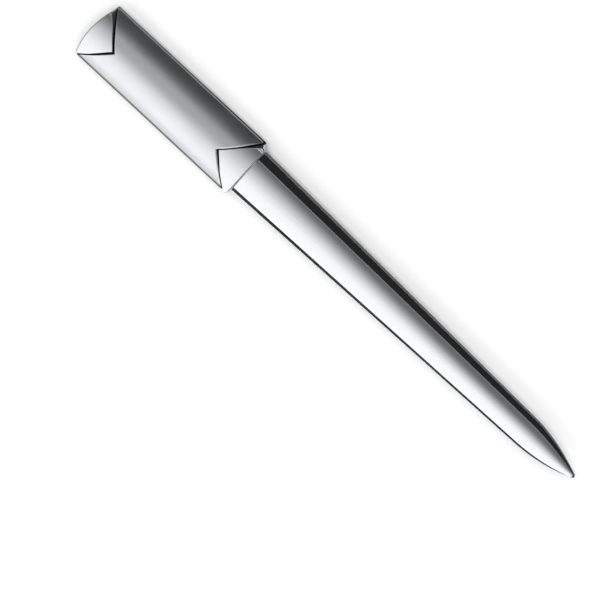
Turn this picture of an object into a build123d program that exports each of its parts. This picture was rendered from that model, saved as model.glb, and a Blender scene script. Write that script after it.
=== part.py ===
"""Letter opener with an envelope handle: blade, body, cover panel, back plate and rivets.

Millimetres. The opener lies on its back plate, the tip points to +X and +Z is up.
The origin is on the table below the middle of the overall length.
"""
import os
from math import asin, copysign, cos, hypot, pi, radians, sin, sqrt, tan

from build123d import *

# Overall sizes
overall_length = 200.0
handle_width = 21.0
handle_height = 7.8

# Lengths along the handle, from the butt
butt_bulge = 1.9
panel_length = 60.3
flap_reach = 2.0

# Cover panel
panel_rise = 4.0
panel_thickness = 0.9
panel_edge_radius = 0.6
rear_notch_depth = 8.2
front_notch_depth = 9.2
bond_gap = 0.1
peg_diameter = 2.4
peg_length = 1.1
peg_clearance = 0.1
peg_shares = (0.22, 0.64)

# Handle body
body_underside = 1.8
body_edge_radius = 0.4
butt_corner_radius = 0.8
front_corner_radius = 2.2

# Flaps of the handle body
flap_gap = 0.15
flap_arch_radius = 40.0
flap_edge_radius = 2.6
rear_flap_drop = 0.1
rear_flap_bevel = 0.8
front_flap_drop = 0.5
front_flap_bevel = 0.4

# Back plate
back_side_inset = 1.8
back_butt_inset = 2.2
back_front_inset = 0.6
back_corner_radius = 2.5
back_edge_chamfer = 0.6

# Blade
blade_gap = 0.15
flap_step = 0.6
root_side_inset = 1.75
blade_knee_width = 11.1
blade_arch_radius = 22.0
blade_bevel_width = 2.6
blade_bevel_share = 0.3
blade_bevel_slope = 34.0
blade_side_wall = 1.2
blade_thickness = 1.4
rim_width = 1.6
root_block_length = 7.0
root_corner_radius = 1.8
root_edge_drop = 0.8
root_sections = 5
tip_length = 19.7
tip_radius = 1.2
tip_flat = 0.5
tip_flank_angle = 22.0
tip_drop = 1.0
tip_sections = 9
ogive_sagitta = 0.95
hollow_tip_gap = 7.0

# Tang and rivets
tang_width = 9.0
tang_thickness = 1.4
tang_length = 46.0
tang_underside = 3.7
tang_side_clearance = 0.1
tang_end_clearance = 0.5
rivet_diameter = 3.0
rivet_head_diameter = 5.6
rivet_head_depth = 1.3
rivet_clearance = 0.05
rivet_recess = 0.1
rivet_top = 6.0
rivet_setbacks = (12.0, 34.0)

# Derived sizes
half_width = handle_width / 2
butt_x = -overall_length / 2
tip_x = overall_length / 2
panel_rear_x = butt_x + butt_bulge
panel_front_x = panel_rear_x + panel_length
rear_apex_x = panel_rear_x + rear_notch_depth
front_apex_x = panel_front_x - front_notch_depth
body_front_x = panel_front_x + flap_reach
root_x = body_front_x + blade_gap
knee_x = tip_x - tip_length
panel_radius = (half_width**2 + panel_rise**2) / (2 * panel_rise)
body_radius = panel_radius - panel_thickness - bond_gap
body_crown = handle_height - panel_thickness - bond_gap
rear_flap_crown = handle_height - rear_flap_drop
front_flap_crown = handle_height - front_flap_drop
blade_crown = front_flap_crown - flap_step
blade_root_width = handle_width - 2 * root_side_inset
tang_rear_x = body_front_x - tang_length
channel_rear_x = tang_rear_x - tang_end_clearance
tang_top = tang_underside + tang_thickness
channel_width = tang_width + 2 * tang_side_clearance


def arch_height(crown, radius, y):
    """Height of an arched surface at the distance y from the middle line."""
    return crown - radius + sqrt(radius**2 - y**2)


def shoulder(half, crown, radius, edge):
    """Start, middle and end of the rounding between an arched top and an upright side."""
    inset = edge * (radius - half) / (radius - edge)
    y_start = half - inset
    slope = asin(y_start / radius)
    z_start = arch_height(crown, radius, y_start)
    z_end = z_start - edge * cos(slope)
    turn = (slope + pi / 2) / 2
    y_middle = half - edge + edge * sin(turn)
    z_middle = z_end + edge * cos(turn)
    return (y_start, z_start), (y_middle, z_middle), (half, z_end)


def arched_section(x, half, crown, radius, edge, bottom):
    """Cross-section with a flat bottom, upright sides, rounded shoulders and an arched top."""
    start, middle, end = shoulder(half, crown, radius, edge)
    right = [(x, y, z) for y, z in (start, middle, end, (half, bottom))]
    left = [(x, -y, z) for y, z in (start, middle, end, (half, bottom))]
    edges = [
        ThreePointArc(left[0], (x, 0, crown), right[0]),
        ThreePointArc(right[0], right[1], right[2]),
        Line(right[2], right[3]),
        Line(right[3], left[3]),
        Line(left[3], left[2]),
        ThreePointArc(left[2], left[1], left[0]),
    ]
    return Face(Wire(edges))


def arch_tool(crown, radius):
    """Long round bar whose upper side is an arched surface."""
    bar = Cylinder(radius, 2 * overall_length, rotation=(0, 90, 0))
    return Pos(0, 0, crown - radius) * bar


def box_between(x0, x1, width, z0, z1):
    """Block centred across the opener between two stations and two heights."""
    block = Box(x1 - x0, width, z1 - z0)
    return Pos((x0 + x1) / 2, 0, (z0 + z1) / 2) * block


def notch_shift(corner_x, apex_x, gap):
    """Way along X by which a V plan moves when both its lines draw in by a gap."""
    depth = corner_x - apex_x
    return copysign(gap * hypot(half_width, depth) / half_width, depth)


def notch_plan(corner_x, apex_x, gap):
    """V plan from two handle corners to an apex on the middle line, drawn in by a gap."""
    shift = notch_shift(corner_x, apex_x, gap)
    reach = 2 * corner_x - apex_x + shift
    far = half_width * 2
    return make_face(Polyline((apex_x + shift, 0), (reach, far), (reach, -far), close=True))


def notch(corner_x, apex_x):
    """Prism that cuts a V notch into an end of the panel."""
    return extrude(notch_plan(corner_x, apex_x, 0), handle_height * 2)


def rivet_stations():
    """Places of the rivets along the tang."""
    return [body_front_x - setback for setback in rivet_setbacks]


def rivet(x, grow):
    """Countersunk rivet; grow widens it into its own hole."""
    radius = rivet_diameter / 2 + grow
    head_radius = rivet_head_diameter / 2 + grow
    top = rivet_top + grow
    bottom = rivet_recess - grow
    shank = Pos(x, 0, (bottom + top) / 2) * Cylinder(radius, top - bottom)
    head_middle = bottom + rivet_head_depth / 2
    head = Pos(x, 0, head_middle) * Cone(head_radius, radius, rivet_head_depth)
    return shank + head


def rivet_hole(x):
    """Hole for one rivet, open to the underside."""
    mouth_radius = rivet_head_diameter / 2 + rivet_clearance
    mouth = Pos(x, 0, 0) * Cylinder(mouth_radius, 2 * rivet_recess)
    return rivet(x, rivet_clearance) + mouth


def peg(share, grow):
    """Round peg under the panel at a share of its length; grow widens it into its own socket."""
    bottom = body_crown - peg_length - grow
    top = body_crown + panel_thickness / 2
    x = panel_rear_x + share * panel_length
    return Pos(x, 0, (bottom + top) / 2) * Cylinder(peg_diameter / 2 + grow, top - bottom)


def make_cover_panel():
    """Arched envelope panel with a V notch at each end and two pegs underneath."""
    section = arched_section(
        panel_rear_x, half_width, handle_height, panel_radius, panel_edge_radius, body_underside
    )
    panel = extrude(section, panel_length, dir=(1, 0, 0))
    panel -= arch_tool(body_crown + bond_gap, body_radius + bond_gap)
    panel -= notch(panel_rear_x, rear_apex_x)
    panel -= notch(panel_front_x, front_apex_x)
    for share in peg_shares:
        panel += peg(share, 0)
    return panel


def body_plan():
    """Plan of the handle body: bulged butt, straight front and rounded corners."""
    rear = ThreePointArc((panel_rear_x, half_width), (butt_x, 0), (panel_rear_x, -half_width))
    front = Polyline(
        (panel_rear_x, -half_width),
        (body_front_x, -half_width),
        (body_front_x, half_width),
        (panel_rear_x, half_width),
    )
    plan = make_face(rear + front)
    corners = plan.vertices().sort_by(Axis.X)
    plan = fillet(corners[:2], butt_corner_radius)
    corners = plan.vertices().sort_by(Axis.X)
    return fillet(corners[-2:], front_corner_radius)


def make_flap(corner_x, apex_x, outer_x, crown, bevel):
    """Almost flat flap in a notch of the panel: rounded sides and a bevel along the V."""
    start_x = min(outer_x, apex_x)
    section = arched_section(
        start_x, half_width, crown, flap_arch_radius, flap_edge_radius, body_underside
    )
    bar = extrude(section, abs(outer_x - apex_x), dir=(1, 0, 0))
    plan = notch_plan(corner_x, apex_x, flap_gap)
    wall = extrude(plan, crown - bevel, dir=(0, 0, 1))
    rise = 2 * bevel
    lean = notch_shift(corner_x, apex_x, rise)
    wall += Pos(0, 0, crown - bevel) * extrude(plan, hypot(lean, rise), dir=(lean, 0, rise))
    return bar & wall


def make_handle_body():
    """Arched casting with both flaps, the tang channel, the rivet holes and the peg sockets."""
    block = extrude(body_plan(), 2 * handle_height)
    body = block & arch_tool(body_crown, body_radius)
    body -= box_between(butt_x - 1, body_front_x + 1, handle_width + 2, 0, body_underside)
    rim = body.edges().filter_by(lambda e: e.center().Z > body_underside + 0.01)
    rim = rim.filter_by(Axis.Z, reverse=True)
    body = fillet(rim, body_edge_radius)
    rear = make_flap(panel_rear_x, rear_apex_x, butt_x, rear_flap_crown, rear_flap_bevel)
    front = make_flap(panel_front_x, front_apex_x, body_front_x, front_flap_crown, front_flap_bevel)
    body += rear & block
    body += front & block
    body -= box_between(channel_rear_x, body_front_x + 1, channel_width, 0, tang_top)
    for x in rivet_stations():
        body -= rivet_hole(x)
    for share in peg_shares:
        body -= peg(share, peg_clearance)
    return body


def make_back_plate():
    """Flat plate under the body with a rib that presses the tang into its channel."""
    x0 = butt_x + back_butt_inset
    x1 = body_front_x - back_front_inset
    width = handle_width - 2 * back_side_inset
    plate = box_between(x0, x1, width, 0, body_underside)
    plate = fillet(plate.edges().filter_by(Axis.Z), back_corner_radius)
    plate = chamfer(plate.faces().sort_by(Axis.Z)[0].edges(), back_edge_chamfer)
    plate += box_between(tang_rear_x, x1, tang_width, body_underside, tang_underside)
    for x in rivet_stations():
        plate -= rivet_hole(x)
    return plate


def ogive_half_width(distance):
    """Half width of the pointed end at a distance from the tip: a round cap, then a bulged flank."""
    cap_length = tip_radius * (1 - sin(radians(tip_flank_angle)))
    cap_half = tip_radius * cos(radians(tip_flank_angle))
    if distance < cap_length:
        return max(tip_flat / 2, sqrt(2 * tip_radius * distance - distance**2))
    run = (distance - cap_length) / (tip_length - cap_length)
    bulge = 4 * ogive_sagitta * run * (1 - run)
    return cap_half + (blade_knee_width / 2 - cap_half) * run + bulge


def blade_half_width(x):
    """Half width of the straight taper between the root and the knee."""
    run = (x - root_x) / (knee_x - root_x)
    return (blade_root_width + (blade_knee_width - blade_root_width) * run) / 2


def bevel_start(half, crown):
    """Place where the arched middle of the blade meets the bevel."""
    y = half - min(blade_bevel_width, blade_bevel_share * half)
    return y, arch_height(crown, blade_arch_radius, y)


def bevel_end(half, crown):
    """Height of the outer edge of the bevel."""
    y, z = bevel_start(half, crown)
    return z - (half - y) * tan(radians(blade_bevel_slope))


def rim_bottom(half):
    """Height of the lower rim of the blade where it has this half width."""
    return bevel_end(half, blade_crown) - blade_side_wall


def blade_section(x, half, drop, bottom):
    """Cross-section of the blade, its crown lowered by drop: arched middle, bevels, flat bottom."""
    crown = blade_crown - drop
    y, z = bevel_start(half, crown)
    edge = bevel_end(half, crown)
    top = ThreePointArc((x, -y, z), (x, 0, crown), (x, y, z))
    right = [(x, y, z), (x, half, edge), (x, half, bottom)]
    left = [(x, -half, bottom), (x, -half, edge), (x, -y, z)]
    rest = Polyline(*right, *left)
    return Face(Wire(top.edges() + rest.edges()))


def root_stations():
    """Cross-sections of the rounded root, from the end face to the full width."""
    sections = []
    for step in range(root_sections):
        turn = pi / 2 * step / (root_sections - 1)
        x = root_x + root_corner_radius * (1 - cos(turn))
        full = blade_half_width(x)
        half = full - root_corner_radius * (1 - sin(turn))
        sections.append(blade_section(x, half, root_edge_drop * (1 - sin(turn)), rim_bottom(full)))
    return sections


def tip_stations():
    """Cross-sections of the pointed end, from the knee to the lowered tip."""
    sections = []
    for step in range(tip_sections + 1):
        distance = tip_length * (1 - step / tip_sections) ** 2
        half = ogive_half_width(distance)
        drop = tip_drop * (1 - distance / tip_length) ** 3
        sections.append(blade_section(tip_x - distance, half, drop, rim_bottom(half) - drop))
    return sections


def blade_hollow():
    """Hollow under the blade, inside a rim of even width."""
    rear = root_x + root_block_length
    plan = [
        (rear, blade_half_width(rear) - rim_width),
        (knee_x, blade_knee_width / 2 - rim_width),
        (tip_x - hollow_tip_gap, ogive_half_width(hollow_tip_gap) - rim_width),
    ]
    mirrored = [(x, -y) for x, y in reversed(plan)]
    prism = extrude(make_face(Polyline(*plan, *mirrored, close=True)), handle_height)
    top = blade_crown - blade_thickness
    return prism & arch_tool(top, blade_arch_radius - blade_thickness)


def make_blade():
    """Tapered arched blade with a rounded root, hollow underneath, and a flat tang."""
    blade = loft(root_stations() + tip_stations(), ruled=True)
    blade -= blade_hollow()
    tang_front_x = root_x + root_block_length / 2
    blade += box_between(tang_rear_x, tang_front_x, tang_width, tang_underside, tang_top)
    for x in rivet_stations():
        blade -= rivet_hole(x)
    return blade


pieces = {
    "cover_panel": make_cover_panel(),
    "handle_body": make_handle_body(),
    "back_plate": make_back_plate(),
    "blade": make_blade(),
    "tang_rivets": Compound([rivet(x, 0) for x in rivet_stations()]),
}
os.makedirs("parts", exist_ok=True)
for name, shape in pieces.items():
    export_step(shape, f"parts/{name}.step")
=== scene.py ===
"""Looks of the letter opener: smooth skins for panel, body and blade, metal finishes, studio."""
import math

import bmesh
import bpy
import numpy as np
from mathutils import Matrix, Vector


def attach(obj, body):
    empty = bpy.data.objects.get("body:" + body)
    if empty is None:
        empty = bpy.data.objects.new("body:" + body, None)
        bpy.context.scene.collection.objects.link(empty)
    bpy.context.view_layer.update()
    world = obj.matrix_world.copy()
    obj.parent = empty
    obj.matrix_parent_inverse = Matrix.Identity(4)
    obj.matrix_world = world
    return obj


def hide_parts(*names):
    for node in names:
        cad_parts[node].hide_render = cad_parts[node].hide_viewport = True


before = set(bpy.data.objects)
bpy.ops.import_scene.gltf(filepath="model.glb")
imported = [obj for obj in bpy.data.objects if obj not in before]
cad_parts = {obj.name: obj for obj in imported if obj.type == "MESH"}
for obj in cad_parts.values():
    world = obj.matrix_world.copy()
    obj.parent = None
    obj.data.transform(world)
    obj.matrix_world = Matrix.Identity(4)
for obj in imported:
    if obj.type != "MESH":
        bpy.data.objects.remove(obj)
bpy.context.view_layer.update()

MM = 0.001
# Points closer together than this, in metres, become one point
MERGE = 2e-7

# Outline of the handle; all sizes of the part are in millimetres
HALF = 10.5
BUTT_X = -100.0
BULGE = 1.9
CROWN = 7.8
SIDE_LEAN = math.radians(12)

# Cover panel
PANEL_REAR_X = -98.1
PANEL_FRONT_X = -37.8
REAR_DEPTH = 8.8
FRONT_DEPTH = 9.2
PANEL_RISE = 4.0
PANEL_RADIUS = (HALF**2 + PANEL_RISE**2) / (2 * PANEL_RISE)
PANEL_EDGE = 0.6
PANEL_SHEET = 0.9
PANEL_INNER_RADIUS = PANEL_RADIUS - PANEL_SHEET
PANEL_INNER_CROWN = CROWN - PANEL_SHEET
PANEL_INNER_MARGIN = 0.5
PANEL_BOTTOM = 2.6
PANEL_FOOT = 0.1
PANEL_FOOT_CORNER = (0.04, 0.03)
PANEL_FOOT_NORMAL = (0.7, -0.7)
PANEL_FOOT_END = 0.12
REAR_V_ROUNDING = 0.25
FRONT_V_ROUNDING = 0.55
V_MARGIN = 0.06

# Handle body and its two flaps
BODY_FRONT_X = -35.8
BODY_STEP = 1.0
BODY_RADIUS = PANEL_RADIUS - BODY_STEP
BODY_CROWN = CROWN - BODY_STEP
BODY_BOTTOM = 1.8
BODY_LEDGE = 2.45
LEDGE_INSET = 0.2
# Rounded lower edge of the body: inset from the outline, and height
LOWER_EDGE = ((LEDGE_INSET, BODY_LEDGE), (0.27, 2.15), (0.32, 1.92), (0.36, 1.84), (0.46, BODY_BOTTOM))
FLAP_TIP = 0.12
FLAP_RADIUS = 40.0
REAR_FLAP_CROWN = 7.7
FRONT_FLAP_CROWN = 7.05
REAR_RIM = 0.35
FRONT_RIM = 0.4
CREASE_BLEND = 0.12
BEVEL_BLEND = 0.1
SHOULDER_START = 0.05
FAR_ABOVE = 5.0

# Blade
ROOT_X = -35.65
KNEE_X = 80.3
TIP_X = 100.0
BLADE_CROWN = 6.7
TIP_DROP = 1.5
TIP_RADIUS = 0.8
TIP_ANGLE = math.radians(24)
TIP_SAGITTA = 0.95
BLADE_EDGE_ANGLE = math.radians(12.5)
BLADE_LOW = 3.0
BLADE_WALL = 0.3
BLADE_WALL_LEAST = 0.1
BLADE_LEAN = 0.1
BLADE_LEAN_SHARE = 0.05
BLADE_FOOT = 0.1
BLADE_FOOT_CORNER = (0.03, 0.015)
BLADE_FOOT_HEIGHT = 0.05
BLADE_RIM_SHARE = 0.12
ROOT_HALF = 8.7
KNEE_HALF = 5.52
BEVEL_SHARE = 0.3
BEVEL_ANGLE = math.radians(30.5)
BEVEL_ROUNDING = 0.8
ROOT_ROUNDING = 0.2
ROOT_ROUNDING_Y = 2.0
ROOT_ROUNDING_Z = 0.8
ROOT_CORNER = 0.4
EVEN_ARCH_X = -22.0
ARCH_CHANGE_LENGTH = 95.0
ARCH_CHANGE_MOST = 0.9
ARCH_SHARE_MOST = 1.3
HOLLOW_X = -28.65
HOLLOW_START = 2.0
HOLLOW_END_X = 93.0
HOLLOW_END = 8.0
BLADE_SHEET = 1.4

# What joins the pieces: pegs in sockets, tang in its channel, rivet holes
PEG_X = (-84.83, -59.51)
PEG_RADIUS = 1.2
PEG_LOW = 5.7
PEG_TOP = 7.25
SOCKET_RADIUS = 1.3
SOCKET_LOW = 5.6
RIVET_X = (-47.8, -69.8)
RIVET_HOLE = 1.55
RIVET_HOLE_TOP = 6.05
CHANNEL_X = -82.3
CHANNEL_HALF = 4.6
TANG_X = -81.8
TANG_END_X = -32.15
TANG_HALF = 4.5
TANG_LOW = 3.7
TANG_TOP = 5.1
CUT_PAST = 1.0
HOLE_START = 0.5

# Marks from 0 to 1 set painted shade in grooves and painted dark reflection at edges and on walls, where
# the finish is also rougher
EDGE_MARK_Y = 8.8
RIGHT_EDGE_MARK = 0.15
WALL_MARK_SHARE = 0.35
V_MARK_TURN = math.pi / 8
FRONT_CORNER_MARK = 0.45
SIDE_MARK = 0.45
BEVEL_MARK_START = 0.02
BEVEL_MARK_RUN = 0.12
RIM_FADE = 0.35
SIDE_FADE = 3
BLADE_SIDE_MARK = 0.9
BLADE_MARK_ANGLE = 48.0
BLADE_MARK_TURN = 14.0
NOSE_MARK = 0.95
NOSE_LENGTH = 1.0
NOSE_FADE = 0.6

# How finely the meshes are divided
ARCH_COUNT = 44
EDGE_COUNT = 17
PANEL_WALL_COUNT = 7
PANEL_ROWS = 26
V_STEPS = 8
STRAIGHT_COUNT = 70
CORNER_COUNT = 26
CORNER_LEAD = 12
CORNER_REST_COUNT = 6
SIDE_COUNT = 30
FLAP_ROWS = 64
FLAP_CROWDING = 1.25
RIM_STEPS = 9
WALL_ROWS = 6
ROD_SIDES = 64
ROOT_STATIONS = 7
ROOT_CORNER_STATIONS = 9
SIDE_STATIONS = 120
TIP_STATIONS = 90
TIP_LAST = 0.96
CROWN_COUNT = 30
CROWN_CROWDING = 1.4
BEVEL_COUNT = 8
BEVEL_TURNS = 16
BLADE_WALL_COUNT = 4
UNDERSIDE_COUNT = 20
HALVINGS = 60


class Skin:
    """Points and faces of one closed surface, gathered patch by patch."""

    def __init__(self):
        self.points = []
        self.marks = []
        self.faces = []
        self.count = 0

    def grid(self, rows, mark=0.0):
        """Adds a patch of points in rows, with one mark or a mark for each point."""
        rows = np.asarray(rows, float)
        n, m = rows.shape[:2]
        index = self.count + np.arange(n * m).reshape(n, m)
        quads = [index[:-1, :-1], index[1:, :-1], index[1:, 1:], index[:-1, 1:]]
        self.faces += np.stack(quads, -1).reshape(-1, 4).tolist()
        self.points.append(rows.reshape(-1, 3))
        self.marks.append(np.broadcast_to(mark, (n, m)).reshape(-1))
        self.count += n * m

    def polygon(self, loop, mark=0.0):
        """Adds one flat face with many corners."""
        self.faces.append(list(range(self.count, self.count + len(loop))))
        self.points.append(np.asarray(loop, float))
        self.marks.append(np.full(len(loop), mark))
        self.count += len(loop)

    def shared_marks(self, points):
        """Marks of the points; where patches meet, the highest mark holds."""
        places = np.round(points / MERGE).astype(np.int64)
        group = np.unique(places, axis=0, return_inverse=True)[1].ravel()
        highest = np.zeros(group.max() + 1)
        np.maximum.at(highest, group, np.concatenate(self.marks))
        return highest[group]

    def build(self, name):
        """Joins the patches into one mesh object."""
        mesh = bpy.data.meshes.new(name)
        points = np.concatenate(self.points) * MM
        mesh.from_pydata(points.tolist(), [], self.faces)
        # Each point's mark paints shade and dark reflection into the metal's colour and makes its finish
        # rougher
        mark = mesh.attributes.new("painted_shade_and_dull", "FLOAT", "POINT")
        mark.data.foreach_set("value", self.shared_marks(points))
        bm = bmesh.new()
        bm.from_mesh(mesh)
        bmesh.ops.remove_doubles(bm, verts=bm.verts, dist=MERGE)
        bmesh.ops.dissolve_degenerate(bm, dist=MERGE / 2, edges=bm.edges)
        bmesh.ops.recalc_face_normals(bm, faces=bm.faces)
        bm.to_mesh(mesh)
        bm.free()
        piece = bpy.data.objects.new(name, mesh)
        bpy.context.scene.collection.objects.link(piece)
        return piece


def block(low, high):
    """Box between two corners."""
    low, high = np.array(low, float), np.array(high, float)
    place = Matrix.Translation(Vector((low + high) / 2) * MM)
    mesh = bpy.data.meshes.new("block")
    bm = bmesh.new()
    bmesh.ops.create_cube(bm, size=1.0)
    bm.transform(place @ Matrix.Diagonal((*((high - low) * MM), 1)))
    bm.to_mesh(mesh)
    bm.free()
    return mesh


def rod(x, radius, low, high):
    """Round upright rod on the middle line."""
    mesh = bpy.data.meshes.new("rod")
    bm = bmesh.new()
    bmesh.ops.create_cone(bm, cap_ends=True, segments=ROD_SIDES, radius1=radius * MM,
                          radius2=radius * MM, depth=(high - low) * MM)
    bm.transform(Matrix.Translation(Vector((x, 0, (low + high) / 2)) * MM))
    bm.to_mesh(mesh)
    bm.free()
    return mesh


def combine(piece, tool_mesh, operation):
    """Joins a tool shape to a piece or cuts it out of the piece."""
    tool = bpy.data.objects.new("tool", tool_mesh)
    bpy.context.scene.collection.objects.link(tool)
    modifier = piece.modifiers.new("combine", "BOOLEAN")
    modifier.operation = operation
    modifier.solver = "EXACT"
    modifier.object = tool
    graph = bpy.context.evaluated_depsgraph_get()
    mesh = bpy.data.meshes.new_from_object(piece.evaluated_get(graph))
    piece.modifiers.clear()
    old = piece.data
    piece.data = mesh
    mesh.name = piece.name
    bpy.data.meshes.remove(old)
    bpy.data.objects.remove(tool)
    bpy.data.meshes.remove(tool_mesh)


def smooth_min(a, b, blend):
    overlap = np.maximum(blend - np.abs(a - b), 0) / blend
    return np.minimum(a, b) - overlap**2 * blend / 4


def smooth_step(t):
    t = np.clip(t, 0, 1)
    return t * t * (3 - 2 * t)


def arch(crown, radius, y):
    return crown - radius + np.sqrt(np.maximum(radius**2 - y**2, 0))


def both_sides(half, column):
    """Half chain from the middle outward, made into a whole chain from left to right."""
    flip = half[::-1][:-1].copy()
    flip[:, column] *= -1
    return np.concatenate([flip, half])


class End:
    """One end of the handle: its V line and its outline from the middle to the side."""

    def __init__(self, sign, apex_x, depth, corner_radius, gap):
        self.sign = sign
        self.apex_x = apex_x
        self.slope = depth / HALF
        self.stretch = math.hypot(HALF, depth) / HALF
        self.gap = gap
        self.corner = corner_radius
        self.corner_y = HALF - corner_radius
        if sign < 0:
            self.arc_radius = (HALF**2 + BULGE**2) / (2 * BULGE)
            self.arc_x = BUTT_X + self.arc_radius
            reach = self.arc_radius - corner_radius
            self.corner_x = self.arc_x - math.sqrt(reach**2 - self.corner_y**2)
            self.turn = math.atan2(self.corner_y, self.arc_x - self.corner_x)
        else:
            self.corner_x = BODY_FRONT_X - corner_radius
            self.turn = 0.0

    def v_x(self, y, gap=0.0):
        return self.apex_x + self.sign * (gap * self.stretch + self.slope * np.abs(y))

    def v_distance(self, x, y):
        return self.sign * (x - self.v_x(y, self.gap)) / self.stretch

    def corner_point(self, turn):
        x = self.corner_x + self.sign * self.corner * np.cos(turn)
        y = self.corner_y + self.corner * np.sin(turn)
        return x, y

    def panel_end(self, y):
        """Where the panel ends: at the V line, or at the rounded corner of the handle."""
        over = np.maximum(np.abs(y) - self.corner_y, 0)
        bow = np.sqrt(np.maximum(self.corner**2 - over**2, 0))
        limit = self.corner_x + self.sign * bow
        limit = np.where(over > 0, limit, self.sign * np.inf)
        return self.sign * np.minimum(self.sign * self.v_x(y), self.sign * limit)

    def meeting_turn(self):
        """Turn along the rounded corner at which the V line of the flap comes out."""
        low, high = self.turn, math.pi / 2
        for _ in range(HALVINGS):
            middle = (low + high) / 2
            x, y = self.corner_point(middle)
            if self.sign * (x - self.v_x(y, self.gap + FLAP_TIP)) > 0:
                low = middle
            else:
                high = middle
        return low

    def outline(self):
        """Half outline from the middle line to the V line: points and outward normals."""
        if self.sign < 0:
            turn = np.linspace(0, self.turn, STRAIGHT_COUNT)
            x = self.arc_x - self.arc_radius * np.cos(turn)
            y = self.arc_radius * np.sin(turn)
        else:
            y = np.linspace(0, self.corner_y, STRAIGHT_COUNT)
            x = np.full(STRAIGHT_COUNT, BODY_FRONT_X)
            turn = np.zeros(STRAIGHT_COUNT)
        bend = np.linspace(self.turn, self.meeting_turn(), CORNER_COUNT + 1)[1:]
        bend_x, bend_y = self.corner_point(bend)
        points = np.stack([np.append(x, bend_x), np.append(y, bend_y)], 1)
        turns = np.append(turn, bend)
        normals = np.stack([self.sign * np.cos(turns), np.sin(turns)], 1)
        return points, normals

    def corner_rest(self):
        """Rest of the rounded corner, from the V line to the straight side."""
        bend = np.linspace(self.meeting_turn(), math.pi / 2, CORNER_REST_COUNT)
        x, y = self.corner_point(bend)
        return np.stack([x, y], 1), np.stack([self.sign * np.cos(bend), np.sin(bend)], 1)


REAR = End(-1, PANEL_REAR_X + REAR_DEPTH, REAR_DEPTH, corner_radius=0.2, gap=0.3)
FRONT = End(1, PANEL_FRONT_X - FRONT_DEPTH, FRONT_DEPTH, corner_radius=2.2, gap=0.4)


def panel_shoulder():
    """Where the arch of the panel turns into its rounded edge: place, slope, centre height."""
    inset = PANEL_EDGE * (PANEL_RADIUS - HALF) / (PANEL_RADIUS - PANEL_EDGE)
    y_start = HALF - inset
    slope = math.asin(y_start / PANEL_RADIUS)
    z_end = arch(CROWN, PANEL_RADIUS, y_start) - PANEL_EDGE * math.cos(slope)
    return y_start, slope, float(z_end)


def panel_top(y):
    """Height of the panel's outer face."""
    y_start, _, z_end = panel_shoulder()
    y = np.abs(y)
    out = np.clip(y - (HALF - PANEL_EDGE), 0, PANEL_EDGE)
    rounded = z_end + np.sqrt(PANEL_EDGE**2 - out**2)
    return np.where(y < y_start, arch(CROWN, PANEL_RADIUS, y), rounded)


def panel_outer():
    """Half of the panel's outer face, from the crown down to its foot, and its normals."""
    _, slope, z_end = panel_shoulder()
    turn = np.linspace(0, slope, ARCH_COUNT)
    centre = CROWN - PANEL_RADIUS
    top = np.stack([PANEL_RADIUS * np.sin(turn), centre + PANEL_RADIUS * np.cos(turn)], 1)
    bend = np.linspace(slope, math.pi / 2 + SIDE_LEAN, EDGE_COUNT)[1:]
    y = HALF - PANEL_EDGE + PANEL_EDGE * np.sin(bend)
    edge = np.stack([y, z_end + PANEL_EDGE * np.cos(bend)], 1)
    y_low, z_low = edge[-1]
    z = np.linspace(z_low, PANEL_BOTTOM + PANEL_FOOT, PANEL_WALL_COUNT)[1:]
    y = y_low - (z_low - z) * math.tan(SIDE_LEAN)
    wall = np.stack([y, z], 1)
    in_step, up_step = PANEL_FOOT_CORNER
    foot = [[y[-1] - in_step, PANEL_BOTTOM + up_step], [y[-1] - PANEL_FOOT_END, PANEL_BOTTOM]]
    turns = np.append(turn, bend)
    face_normal = np.stack([np.sin(turns), np.cos(turns)], 1)
    wall_normal = np.tile([math.cos(SIDE_LEAN), -math.sin(SIDE_LEAN)], (len(wall), 1))
    foot_normal = [PANEL_FOOT_NORMAL, (0.0, 0.0)]
    return np.concatenate([top, edge, wall, foot]), np.concatenate([face_normal, wall_normal, foot_normal])


def panel_inner(count):
    """Half of the panel's inner face."""
    turn = np.linspace(0, math.asin((HALF - PANEL_INNER_MARGIN) / PANEL_INNER_RADIUS), count)
    centre = PANEL_INNER_CROWN - PANEL_INNER_RADIUS
    y = PANEL_INNER_RADIUS * np.sin(turn)
    return np.stack([y, centre + PANEL_INNER_RADIUS * np.cos(turn)], 1)


def panel_edge_marks(outer):
    """Marks across the whole outer face: painted dark reflection on the walls and the left edge, a faint
    one on the right edge.
    """
    _, _, z_end = panel_shoulder()
    y, z = outer.T
    edge = smooth_step((y - EDGE_MARK_Y) / (HALF - PANEL_EDGE / 2 - EDGE_MARK_Y))
    wall = z < z_end + WALL_MARK_SHARE * PANEL_EDGE
    left = np.where(wall, 1.0, edge)
    right = np.where(wall, 1.0, RIGHT_EDGE_MARK * edge)
    return np.concatenate([left[::-1][:-1], right])


def v_edge_rows(end, radius, outer, normal, edge_marks):
    """Rows of points and marks over the rounding of one V edge, from its end inward; the marks paint shade
    that is deepest at the groove wall.
    """
    rows = []
    for turn in np.linspace(math.pi / 2, 0, V_STEPS):
        step = radius * end.stretch * (1 - math.sin(turn))
        inset = radius * (1 - math.cos(turn))
        mark = max(1 - (math.pi / 2 - turn) / V_MARK_TURN, 0)
        rows.append((step, inset, mark))
    rows.append((radius * end.stretch + V_MARGIN, 0.0, 0.0))
    ends = end.panel_end(outer[:, 0])
    return [
        (np.column_stack([ends - end.sign * step, outer - normal * inset]), np.maximum(edge_marks, mark))
        for step, inset, mark in rows
    ]


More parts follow.
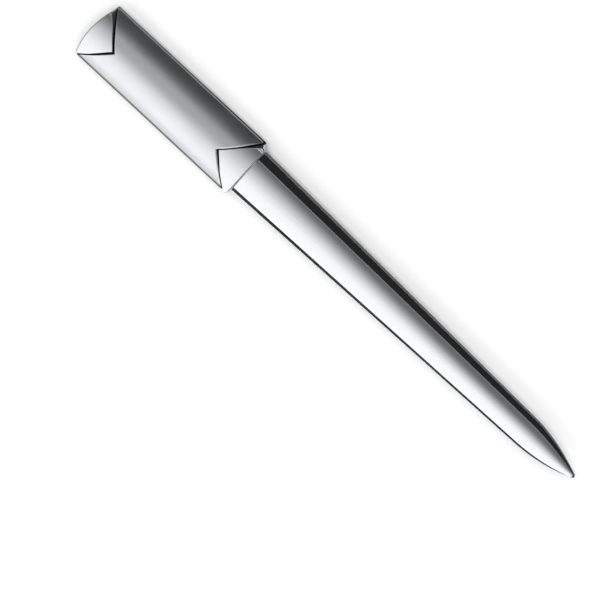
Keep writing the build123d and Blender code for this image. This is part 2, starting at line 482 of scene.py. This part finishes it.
def make_cover_panel():
    outer, normal = panel_outer()
    edge_marks = panel_edge_marks(outer)
    inner = both_sides(panel_inner(len(outer)), 0)
    outer, normal = both_sides(outer, 0), both_sides(normal, 0)
    rows = v_edge_rows(REAR, REAR_V_ROUNDING, outer, normal, edge_marks)
    front = v_edge_rows(FRONT, FRONT_V_ROUNDING, outer, normal, edge_marks)
    start, stop = rows[-1][0][:, 0], front[-1][0][:, 0]
    for share in np.linspace(0, 1, PANEL_ROWS)[1:-1]:
        rows.append((np.column_stack([start + (stop - start) * share, outer]), edge_marks))
    rows += front[::-1]
    outside = [points for points, _ in rows]
    rear_x = REAR.panel_end(inner[:, 0])
    front_x = FRONT.panel_end(inner[:, 0])
    shares = np.linspace(0, 1, len(rows))
    inside = [np.column_stack([rear_x + (front_x - rear_x) * share, inner]) for share in shares]
    skin = Skin()
    skin.grid(outside, [marks for _, marks in rows])
    skin.grid(inside)
    # The panel's end walls along the V lines get full painted shade
    skin.grid([outside[0], inside[0]], 1.0)
    skin.grid([outside[-1], inside[-1]], 1.0)
    for side in (0, -1):
        skin.grid([[row[side] for row in outside], [row[side] for row in inside]])
    panel = skin.build("cover_panel_skin")
    for x in PEG_X:
        combine(panel, rod(x, PEG_RADIUS, PEG_LOW, PEG_TOP), "UNION")
    return panel


def flap_top(x, y, end, crown, crease_y, shoulder_slope, edge_drop, edge_slope, clear):
    """Height of a flap and marks of painted shade on its bevel: flat arch, steep shoulders, bevel along
    the V line.
    """
    across = np.abs(y)
    plateau = arch(crown, FLAP_RADIUS, across)
    crease_z = arch(crown, FLAP_RADIUS, crease_y)
    lean = math.sin(math.radians(shoulder_slope))
    radius = (HALF - crease_y) / (1 - lean)
    sine = np.clip(lean + (across - crease_y) / radius, -1, 1)
    shoulder = crease_z + radius * (np.sqrt(1 - sine**2) - math.sqrt(1 - lean**2))
    shoulder = np.where(sine > SHOULDER_START, shoulder, crown + FAR_ABOVE)
    top = smooth_min(plateau, shoulder, CREASE_BLEND)
    foot = smooth_min(plateau - edge_drop, panel_top(y) - clear, BEVEL_BLEND)
    bevel = foot + np.maximum(end.v_distance(x, y), 0) * math.tan(math.radians(edge_slope))
    # Painted shade down the bevel where it falls below the flap's top
    marks = smooth_step((top - bevel - BEVEL_MARK_START) / BEVEL_MARK_RUN)
    return smooth_min(top, bevel, BEVEL_BLEND), marks


def rear_flap_top(x, y):
    return flap_top(x, y, REAR, REAR_FLAP_CROWN, crease_y=9.3, shoulder_slope=28.0,
                    edge_drop=0.9, edge_slope=62.0, clear=0.2)


def front_flap_top(x, y):
    return flap_top(x, y, FRONT, FRONT_FLAP_CROWN, crease_y=9.5, shoulder_slope=28.0,
                    edge_drop=0.15, edge_slope=64.0, clear=0.3)


def wall_rows(upper, lower):
    return [upper + (lower - upper) * share for share in np.linspace(0, 1, WALL_ROWS)]


def rim_directions(end, points, normals):
    """Ways from the outline to the inner side of the rim; at the V line they run along that line."""
    along = np.array([-end.sign * end.slope, -1.0]) / end.stretch
    last = normals[-1]
    lean = along / (along @ -last) + last
    index = np.arange(len(points))
    ramp = smooth_step((index - STRAIGHT_COUNT + CORNER_LEAD) / (CORNER_COUNT + CORNER_LEAD - 1))
    return ramp[:, None] * lean - normals


def flap_patches(skin, end, top, rim, corner_mark):
    """Adds one flap; gives its V chain, the foot of the chain, outline and normals from left to right."""
    points, normals = end.outline()
    inward = both_sides(rim_directions(end, points, normals), 1)
    points, normals = both_sides(points, 1), both_sides(normals, 1)
    inner = points + inward * rim
    inner_z, inner_marks = top(inner[:, 0], inner[:, 1])
    v_line = end.v_x(inner[:, 1], end.gap)
    rows, marks = [], []
    for share in np.linspace(0, 1, FLAP_ROWS) ** FLAP_CROWDING:
        x = v_line + (inner[:, 0] - v_line) * share
        z, bevel_marks = top(x, inner[:, 1])
        rows.append(np.column_stack([x, inner[:, 1], z]))
        marks.append(bevel_marks)
    skin.grid(rows, marks)
    rings = []
    for turn in np.linspace(0, math.pi / 2, RIM_STEPS):
        at = points + inward * rim * (1 - math.sin(turn))
        rings.append(np.column_stack([at, inner_z - rim * (1 - math.cos(turn))]))
    # Painted dark reflection on the rim round the outline and on the walls below it, set by corner_mark on
    # the corners; it fades into the bevel's painted shade
    straight = np.arange(STRAIGHT_COUNT + CORNER_COUNT) < STRAIGHT_COUNT
    half_marks = np.where(straight, 1.0, corner_mark)
    outline_marks = np.concatenate([half_marks[::-1][:-1], half_marks])
    fade = np.linspace(0, 1, RIM_STEPS)[:, None] ** RIM_FADE
    skin.grid(rings, np.maximum(inner_marks * (1 - fade), outline_marks * fade))
    foot = np.column_stack([points - normals * LEDGE_INSET, np.full(len(points), BODY_LEDGE)])
    fall = np.linspace(1, 0, WALL_ROWS)[:, None] ** SIDE_FADE
    skin.grid(wall_rows(rings[-1], foot), SIDE_MARK + (outline_marks - SIDE_MARK) * fall)
    left = [ring[0] for ring in rings[::-1]] + [row[0] for row in rows[-2:0:-1]]
    right = [row[-1] for row in rows[1:-1]] + [ring[-1] for ring in rings]
    chain = np.array(left + list(rows[0]) + right)
    base = chain.copy()
    base[[0, -1]] = foot[[0, -1]]
    return chain, base, points, normals


def base_height(y):
    """Height of the body under the panel."""
    return np.maximum(arch(BODY_CROWN, BODY_RADIUS, np.minimum(np.abs(y), HALF)), BODY_LEDGE)


def side_points():
    """Side of the handle from the rear V line to the front V line: points and normals."""
    rear, rear_normals = REAR.corner_rest()
    front, front_normals = FRONT.corner_rest()
    x = np.linspace(rear[-1, 0], front[-1, 0], SIDE_COUNT)[1:-1]
    straight = np.column_stack([x, np.full(len(x), HALF)])
    points = np.concatenate([rear, straight, front[::-1]])
    normals = np.concatenate([rear_normals, np.tile([0.0, 1.0], (len(x), 1)), front_normals[::-1]])
    return points, normals


def base_rows(rear_base, front_base, ledge):
    """Rows of the body's face under the panel, from the rear V line to the front V line."""
    shares = (ledge[:, 0] - ledge[0, 0]) / (ledge[-1, 0] - ledge[0, 0])
    rows = []
    for share, point in zip(shares, ledge):
        x = rear_base[:, 0] + (front_base[:, 0] - rear_base[:, 0]) * share
        y = rear_base[:, 1] + (front_base[:, 1] - rear_base[:, 1]) * share
        y = y * (point[1] / y[-1])
        z = base_height(y)
        z[[0, -1]] = BODY_LEDGE
        rows.append(np.column_stack([x, y, z]))
    return rows


def closed_loop(rear, side, front):
    """Chain all round the handle from its rear end, side and front end."""
    left = side * [1, -1]
    return np.concatenate([rear, side[1:-1], front[::-1], left[1:-1][::-1], rear[:1]])


def make_handle_body():
    skin = Skin()
    rear_chain, rear_base, rear_line, rear_normals = flap_patches(
        skin, REAR, rear_flap_top, REAR_RIM, corner_mark=1.0)
    front_chain, front_base, front_line, front_normals = flap_patches(
        skin, FRONT, front_flap_top, FRONT_RIM, corner_mark=FRONT_CORNER_MARK)
    side, side_normals = side_points()
    rows = base_rows(rear_base, front_base, side - side_normals * LEDGE_INSET)
    # Painted shade on the body's face under the panel, less at its sides, and full on the walls of the V
    # grooves
    base_marks = np.ones((len(rows), len(rear_base)))
    base_marks[:, [0, -1]] = SIDE_MARK
    skin.grid(rows, base_marks)
    skin.grid(wall_rows(rear_chain, rows[0]), 1.0)
    skin.grid(wall_rows(front_chain, rows[-1]), 1.0)
    loop = closed_loop(rear_line, side, front_line)
    loop_normals = closed_loop(rear_normals, side_normals, front_normals)
    # Painted dark reflection on the rounded lower edge and the underside
    lower = []
    for inset, z in LOWER_EDGE:
        lower.append(np.column_stack([loop - loop_normals * inset, np.full(len(loop), z)]))
    skin.grid(lower, SIDE_MARK)
    skin.polygon(lower[-1][:-1], SIDE_MARK)
    body = skin.build("handle_body_skin")
    channel = block((CHANNEL_X, -CHANNEL_HALF, BODY_BOTTOM - CUT_PAST),
                    (BODY_FRONT_X + CUT_PAST, CHANNEL_HALF, TANG_TOP))
    combine(body, channel, "DIFFERENCE")
    for x in RIVET_X:
        combine(body, rod(x, RIVET_HOLE, TANG_TOP - HOLE_START, RIVET_HOLE_TOP), "DIFFERENCE")
    for x in PEG_X:
        combine(body, rod(x, SOCKET_RADIUS, SOCKET_LOW, BODY_CROWN + CUT_PAST), "DIFFERENCE")
    return body


def tip_half(distance):
    """Half width of the pointed end at a distance from the tip."""
    cap_length = TIP_RADIUS * (1 - math.sin(TIP_ANGLE))
    cap_half = TIP_RADIUS * math.cos(TIP_ANGLE)
    cap = np.sqrt(np.maximum(2 * TIP_RADIUS * distance - distance**2, 0))
    run = (distance - cap_length) / (TIP_X - KNEE_X - cap_length)
    flank = cap_half + (KNEE_HALF - cap_half) * run + 4 * TIP_SAGITTA * run * (1 - run)
    return np.where(distance < cap_length, cap, flank)


def blade_half(x):
    run = (x - ROOT_X) / (KNEE_X - ROOT_X)
    taper = ROOT_HALF + (KNEE_HALF - ROOT_HALF) * run
    return np.where(x < KNEE_X, taper, tip_half(TIP_X - x))


def blade_bevel(x):
    """Width of the bevel along the side of the blade, with its rounding."""
    return BEVEL_SHARE * blade_half(x)


def blade_crown(x):
    """Crown of the blade, lowered towards the tip."""
    run = np.clip((x - KNEE_X) / (TIP_X - KNEE_X), 0, 1)
    return BLADE_CROWN - TIP_DROP * run**3


def blade_plateau(x, y):
    """Height of the arched top; towards the tip its sides straighten out earlier.

    The even and the early arch have the same slope at the crease.
    """
    crease = blade_half(x) - blade_bevel(x)
    share = np.clip(np.abs(y) / crease, 0, ARCH_SHARE_MOST)
    even = share**2 / 2
    early = 0.75 * share**2 - 0.125 * share**4
    change = np.clip((x - EVEN_ARCH_X) / ARCH_CHANGE_LENGTH, 0, ARCH_CHANGE_MOST)
    return blade_crown(x) - crease * math.tan(BLADE_EDGE_ANGLE) * (even + (early - even) * change)


def bevel_flat(width):
    return width * (1 - BEVEL_ROUNDING * (1 - math.sin(BEVEL_ANGLE)))


def bevel_drop(out, width):
    """Fall of the bevel at a distance out from the crease: flat, then rounded to the vertical."""
    radius = BEVEL_ROUNDING * width
    lean = math.sin(BEVEL_ANGLE)
    flat = bevel_flat(width)
    sine = np.clip(lean + (out - flat) / radius, lean, 1)
    rounded = radius * (math.cos(BEVEL_ANGLE) - np.sqrt(1 - sine**2))
    return np.minimum(out, flat) * math.tan(BEVEL_ANGLE) + rounded


def blade_stations():
    """Places of the cross-sections: close together at the root edge and at the tip."""
    root = ROOT_X + ROOT_ROUNDING * (1 - np.cos(np.linspace(0, math.pi / 2, ROOT_STATIONS)))
    corner = ROOT_X + np.linspace(ROOT_ROUNDING, ROOT_CORNER, ROOT_CORNER_STATIONS)[1:]
    side = np.linspace(ROOT_X + ROOT_CORNER, KNEE_X, SIDE_STATIONS)[1:]
    tip = TIP_X - (TIP_X - KNEE_X) * (1 - np.linspace(0, TIP_LAST, TIP_STATIONS)[1:]) ** 2
    return np.concatenate([root, corner, side, tip])


def blade_section(x):
    """Half cross-section at one station, from the crown to the middle of the underside, and its marks of
    painted dark reflection.
    """
    half = float(blade_half(x))
    crease = half - float(blade_bevel(x))
    short = max(ROOT_CORNER - (x - ROOT_X), 0) / ROOT_CORNER
    half -= ROOT_CORNER * (1 - math.sqrt(1 - short**2))
    width = half - crease
    crown_y = crease * (1 - np.linspace(1, 0, CROWN_COUNT) ** CROWN_CROWDING)
    crown_z = blade_plateau(x, crown_y)
    crease_z = crown_z[-1]
    turns = np.linspace(BEVEL_ANGLE, math.pi / 2, BEVEL_TURNS)[1:]
    flat = np.linspace(0, bevel_flat(width), BEVEL_COUNT)[1:]
    rounded = bevel_flat(width) + BEVEL_ROUNDING * width * (np.sin(turns) - math.sin(BEVEL_ANGLE))
    out = np.concatenate([flat, rounded])
    rim_z = crease_z - float(bevel_drop(width, width))
    low = min(max(rim_z - BLADE_WALL, BLADE_LOW), rim_z - BLADE_WALL_LEAST)
    lean = min(BLADE_LEAN, BLADE_LEAN_SHARE * width)
    fall = np.linspace(0, 1, BLADE_WALL_COUNT)[1:]
    wall_z = rim_z + (low + BLADE_FOOT_HEIGHT - rim_z) * fall
    foot = half - lean - BLADE_FOOT
    in_step, up_step = BLADE_FOOT_CORNER
    rim = foot - BLADE_RIM_SHARE * half
    under = rim * (1 - np.linspace(0, 1, UNDERSIDE_COUNT)[1:])
    y = np.concatenate([crown_y, crease + out, half - lean * fall,
                        [half - lean - in_step, foot, rim], under])
    z = np.concatenate([crown_z, crease_z - bevel_drop(out, width), wall_z, [low + up_step, low, low],
                        underside_height(x, under, crease, crease_z, width, low)])
    # Painted dark reflection on the steep part of the bevel's rounding, on the wall and foot, and at the
    # nose of the tip
    bend_marks = BLADE_SIDE_MARK * smooth_step((np.degrees(turns) - BLADE_MARK_ANGLE) / BLADE_MARK_TURN)
    wall_marks = np.full(len(fall) + 2, BLADE_SIDE_MARK)
    top_marks, under_marks = np.zeros(len(crown_y) + len(flat)), np.zeros(1 + len(under))
    marks = np.concatenate([top_marks, bend_marks, wall_marks, under_marks])
    nose = NOSE_MARK * smooth_step((x - TIP_X + NOSE_LENGTH) / NOSE_FADE)
    return np.column_stack([np.full(len(y), x), y, z]), np.maximum(marks, nose)


def underside_height(x, y, crease, crease_z, width, low):
    """Height of the hollow underside, which follows the top and runs out flat at both ends."""
    bevel = crease_z - bevel_drop(np.maximum(y - crease, 0), width)
    top = np.minimum(blade_plateau(x, y), bevel)
    ceiling = np.maximum(top - BLADE_SHEET, low)
    depth = smooth_step((x - HOLLOW_X) / HOLLOW_START) * smooth_step((HOLLOW_END_X - x) / HOLLOW_END)
    return low + (ceiling - low) * depth


def root_inset(section):
    """Draws a section in where the edge of the root end is rounded."""
    reach = max(ROOT_ROUNDING - (section[0, 0] - ROOT_X), 0) / ROOT_ROUNDING
    inset = ROOT_ROUNDING * (1 - math.sqrt(1 - reach**2))
    middle = (BLADE_CROWN + BLADE_LOW) / 2
    drawn = section.copy()
    drawn[:, 1] -= inset * np.clip(section[:, 1] / ROOT_ROUNDING_Y, 0, 1)
    drawn[:, 2] -= inset * np.clip((section[:, 2] - middle) / ROOT_ROUNDING_Z, -1, 1)
    return drawn


def make_blade():
    sections = [blade_section(x) for x in blade_stations()]
    rows = np.array([root_inset(points) for points, _ in sections])
    marks = np.array([section_marks for _, section_marks in sections])
    skin = Skin()
    skin.grid(rows, marks)
    skin.grid(rows * [1, -1, 1], marks)
    for end in (rows[0], rows[-1]):
        other = end[1:-1] * [1, -1, 1]
        skin.polygon(np.concatenate([end, other[::-1]]))
    blade = skin.build("blade_skin")
    tang = block((TANG_X, -TANG_HALF, TANG_LOW), (TANG_END_X, TANG_HALF, TANG_TOP))
    combine(blade, tang, "UNION")
    for x in RIVET_X:
        combine(blade, rod(x, RIVET_HOLE, TANG_LOW - CUT_PAST, TANG_TOP + CUT_PAST), "DIFFERENCE")
    return blade


# Patterns in the metal: scales in one over metres, and the range of each noise that is used
CLOUD_SCALE = 70.0
CLOUD_RANGE = (0.35, 0.65)
LINE_SCALE = (60.0, 3200.0, 3200.0)
LINE_RANGE = (0.3, 0.62)
RING_SCALE = 5000.0
GRAIN_SCALE = 9000.0
# Painted shade and painted dark reflection at the marks: their colour, and the rougher finish there
PAINTED_SHADE_COLOUR = (0.05, 0.05, 0.052, 1.0)
GROOVE_ROUGHNESS = 0.45
# The finish turns from edge to face between these upward parts of the normal
EDGE_UPRIGHT = 0.58
FACE_UPRIGHT = 0.72
# Bevels on the nodes that keep their shape, in millimetres and degrees
NODE_BEVEL = 0.12
NODE_BEVEL_ANGLE = 35


class Tree:
    """Node tree of a material or the world, with short ways to add linked nodes."""

    def __init__(self, owner):
        owner.use_nodes = True
        self.tree = owner.node_tree

    def __getitem__(self, name):
        return self.tree.nodes[name]

    def set(self, socket, value):
        if isinstance(value, bpy.types.NodeSocket):
            self.tree.links.new(value, socket)
        else:
            socket.default_value = value

    def add(self, kind, inputs, **settings):
        node = self.tree.nodes.new("ShaderNode" + kind)
        for name, value in settings.items():
            setattr(node, name, value)
        for socket, value in inputs.items():
            self.set(node.inputs[socket], value)
        return node

    def place(self, output):
        return self.add("TexCoord", {}).outputs[output]

    def noise(self, place, scale, detail, roughness=0.5):
        inputs = {"Vector": place, "Scale": scale, "Detail": detail, "Roughness": roughness}
        return self.add("TexNoise", inputs).outputs["Fac"]

    def spread(self, value, low, high, to_low=0.0, to_high=1.0):
        inputs = {"Value": value, "From Min": low, "From Max": high, "To Min": to_low, "To Max": to_high}
        return self.add("MapRange", inputs).outputs["Result"]

    def mix(self, factor, a, b):
        return self.add("Mix", {"Factor": factor, "A": a, "B": b}).outputs["Result"]

    def mix_colour(self, factor, a, b):
        return self.add("Mix", {"Factor": factor, "A": a, "B": b}, data_type="RGBA").outputs["Result"]

    def math(self, operation, a, b):
        return self.add("Math", {0: a, 1: b}, operation=operation).outputs["Value"]


def ring_place(tree, place, axes):
    """Noise place that depends only on the distance from the nearest of the upright axes."""
    nearest = None
    for x in axes:
        offset = tree.add("VectorMath", {0: place, 1: (x * MM, 0, 0)}, operation="SUBTRACT")
        flat = tree.add("VectorMath", {0: offset.outputs["Vector"], 1: (1, 1, 0)}, operation="MULTIPLY")
        length = tree.add("VectorMath", {0: flat.outputs["Vector"]}, operation="LENGTH")
        distance = length.outputs["Value"]
        nearest = distance if nearest is None else tree.math("MINIMUM", nearest, distance)
    ring = tree.add("CombineXYZ", {"X": tree.math("MULTIPLY", nearest, RING_SCALE)})
    return ring.outputs["Vector"]


def metal(name, colour, shade, rough, streak, grain, edge_rough=None, shade_marks=True, axes=()):
    """Metal with cloudy roughness, polishing lines along X or round upright axes, and a fine grain; where
    the per-point marks are used, they paint shade and dark reflection into the colour and make the finish
    rougher.
    """
    material = bpy.data.materials.new(name)
    tree = Tree(material)
    shader = tree["Principled BSDF"]
    place = tree.place("Object")
    clouds = tree.noise(place, CLOUD_SCALE, detail=6.0, roughness=0.6)
    roughness = tree.spread(clouds, *CLOUD_RANGE, *rough)
    if axes:
        line_place = ring_place(tree, place, axes)
    else:
        line_place = tree.add("Mapping", {"Vector": place, "Scale": LINE_SCALE}).outputs["Vector"]
    lines = tree.noise(line_place, 1.0, detail=4.0)
    fine = tree.noise(place, GRAIN_SCALE, detail=3.0)
    base = tree.mix_colour(tree.spread(lines, *LINE_RANGE), (*shade, 1.0), (*colour, 1.0))
    if edge_rough is not None:
        normal = tree.add("SeparateXYZ", {"Vector": tree.place("Normal")})
        face = tree.spread(normal.outputs["Z"], EDGE_UPRIGHT, FACE_UPRIGHT)
        roughness = tree.mix(face, edge_rough, roughness)
    # Painted shade and dark reflection from each point's mark, with a rougher finish there
    if shade_marks:
        mark = tree.add("Attribute", {}, attribute_name="painted_shade_and_dull").outputs["Fac"]
        roughness = tree.mix(mark, roughness, GROOVE_ROUGHNESS)
        base = tree.mix_colour(mark, base, PAINTED_SHADE_COLOUR)
    line_bump = tree.add("Bump", {"Distance": streak, "Height": lines})
    bump = tree.add("Bump", {"Distance": grain, "Height": fine, "Normal": line_bump.outputs["Normal"]})
    shader.inputs["Metallic"].default_value = 1.0
    tree.set(shader.inputs["Base Color"], base)
    tree.set(shader.inputs["Roughness"], roughness)
    tree.set(shader.inputs["Normal"], bump.outputs["Normal"])
    return material


def dress(piece, node, material, sharp_angle):
    """Gives a skin its finish and puts it in the place of its node."""
    piece.data.shade_smooth()
    piece.data.set_sharp_from_angle(angle=math.radians(sharp_angle))
    piece.data.materials.append(material)
    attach(piece, "root")
    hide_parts(node)


def finish_node(node, material):
    """Gives a node that keeps its shape a finish and small bevels."""
    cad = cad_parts[node]
    cad.data.materials.clear()
    cad.data.materials.append(material)
    edge = cad.modifiers.new("edge", "BEVEL")
    edge.width = NODE_BEVEL * MM
    edge.segments = 2
    edge.limit_method = "ANGLE"
    edge.angle_limit = math.radians(NODE_BEVEL_ANGLE)


# Radii of the floor's rings, in millimetres
FLOOR_RADII = (0, 60, 200, 600, 1500, 3500, 6000)
FLOOR_SIDES = 96
# Brightness of the studio round the long axis: degrees from straight up towards +Y, and value
STUDIO_STRENGTH = 1.5
STUDIO = (
    (-90, 0.007), (-84.5, 0.02), (-82, 0.8), (-74, 1.0), (-64, 0.93), (-52, 0.81), (-38, 0.78),
    (-32, 0.74), (-24, 0.6), (-16, 0.42), (-9, 0.24), (-3.5, 0.125), (-0.5, 0.1), (1.5, 0.13),
    (5, 0.62), (12, 0.56), (16, 0.2), (22, 0.03), (32, 0.014), (90, 0.014),
)
STUDIO_BLUE = 1.01
# View: tilt towards +Y, direction of the opener in the picture, scale and middle of the picture
VIEW_TILT = math.radians(25)
PICTURE_X = 0.7317
PICTURE_Y = 0.6817
PICTURE_SIZE = 600
PIXELS_PER_MM = 3.29
TARGET_RIGHT = -11.40
TARGET_UP = -15.97
CAMERA_DISTANCE = 2.0
SENSOR_WIDTH = 36.0


def make_floor():
    turns = np.linspace(0, 2 * math.pi, FLOOR_SIDES + 1)
    ring = np.column_stack([np.cos(turns), np.sin(turns), np.zeros(len(turns))])
    skin = Skin()
    skin.grid([ring * radius for radius in FLOOR_RADII])
    floor = skin.build("floor")
    material = bpy.data.materials.new("pale_floor")
    tree = Tree(material)
    shader = tree["Principled BSDF"]
    shader.inputs["Roughness"].default_value = 0.55
    shader.inputs["Specular IOR Level"].default_value = 0.2
    noise = tree.noise(tree.place("Object"), 12.0, detail=2.0)
    tone = tree.mix_colour(noise, (0.86, 0.86, 0.86, 1), (0.88, 0.88, 0.88, 1))
    tree.set(shader.inputs["Base Color"], tone)
    floor.data.materials.append(material)


def make_world():
    """Studio light that changes round the long axis of the opener."""
    world = bpy.data.worlds.new("studio")
    bpy.context.scene.world = world
    tree = Tree(world)
    split = tree.add("SeparateXYZ", {"Vector": tree.place("Generated")})
    angle = tree.math("ARCTAN2", split.outputs["Y"], split.outputs["Z"])
    ramp = tree.add("ValToRGB", {"Fac": tree.spread(angle, -math.pi / 2, math.pi / 2)})
    elements = ramp.color_ramp.elements
    while len(elements) < len(STUDIO):
        elements.new(0.5)
    for element, (degrees, _) in zip(elements, STUDIO):
        element.position = (degrees + 90) / 180
    for element, (_, value) in zip(elements, STUDIO):
        element.color = (value, value, value * STUDIO_BLUE, 1)
    background = tree["Background"]
    background.inputs["Strength"].default_value = STUDIO_STRENGTH
    tree.set(background.inputs["Color"], ramp.outputs["Color"])


def make_lamp():
    light = bpy.data.lights.new("soft_box", "AREA")
    light.shape = "DISK"
    light.size = 2.0
    light.energy = 30.0
    lamp = bpy.data.objects.new("soft_box", light)
    lamp.location = (-0.1, 0.8, 1.4)
    lamp.rotation_mode = "QUATERNION"
    lamp.rotation_quaternion = Vector(lamp.location).to_track_quat("Z", "Y")
    lamp.visible_glossy = False
    bpy.context.scene.collection.objects.link(lamp)


def make_camera():
    back = Vector((0, math.sin(VIEW_TILT), math.cos(VIEW_TILT)))
    across = Vector((0, math.cos(VIEW_TILT), -math.sin(VIEW_TILT)))
    along = Vector((1, 0, 0))
    right = PICTURE_X * along + PICTURE_Y * across
    up = PICTURE_X * across - PICTURE_Y * along
    target = (TARGET_RIGHT * right + TARGET_UP * up) * MM
    data = bpy.data.cameras.new("camera")
    data.sensor_width = SENSOR_WIDTH
    data.lens = SENSOR_WIDTH * CAMERA_DISTANCE / (PICTURE_SIZE / PIXELS_PER_MM * MM)
    data.clip_end = 20.0
    camera = bpy.data.objects.new("camera", data)
    turn = Matrix((right, up, back)).transposed().to_4x4()
    camera.matrix_world = Matrix.Translation(target + back * CAMERA_DISTANCE) @ turn
    bpy.context.scene.collection.objects.link(camera)
    bpy.context.scene.camera = camera


panel = make_cover_panel()
body = make_handle_body()
blade = make_blade()

# The satin and both chrome finishes paint shade and dark reflection at the marks; the two steels don't
satin = metal("satin_chrome", (0.75, 0.76, 0.78), (0.72, 0.73, 0.75), rough=(0.36, 0.42),
              streak=4e-7, grain=6e-7, edge_rough=0.1)
flap_chrome = metal("flap_chrome", (0.80, 0.81, 0.83), (0.775, 0.785, 0.805), rough=(0.05, 0.08),
                    streak=4e-7, grain=1e-7)
blade_chrome = metal("blade_chrome", (0.81, 0.82, 0.84), (0.785, 0.795, 0.815), rough=(0.05, 0.08),
                     streak=4e-7, grain=1e-7)
brushed = metal("brushed_steel", (0.62, 0.63, 0.64), (0.48, 0.49, 0.50), rough=(0.28, 0.42),
                streak=2e-6, grain=4e-7, shade_marks=False)
turned = metal("turned_steel", (0.66, 0.66, 0.67), (0.52, 0.52, 0.53), rough=(0.22, 0.34),
               streak=3e-6, grain=4e-7, shade_marks=False, axes=RIVET_X)

dress(panel, "cover_panel", satin, sharp_angle=32)
dress(body, "handle_body", flap_chrome, sharp_angle=40)
dress(blade, "blade", blade_chrome, sharp_angle=40)
finish_node("back_plate", brushed)
finish_node("tang_rivets", turned)

make_floor()
make_world()
make_lamp()
make_camera()
bpy.context.scene.view_settings.view_transform = "Standard"
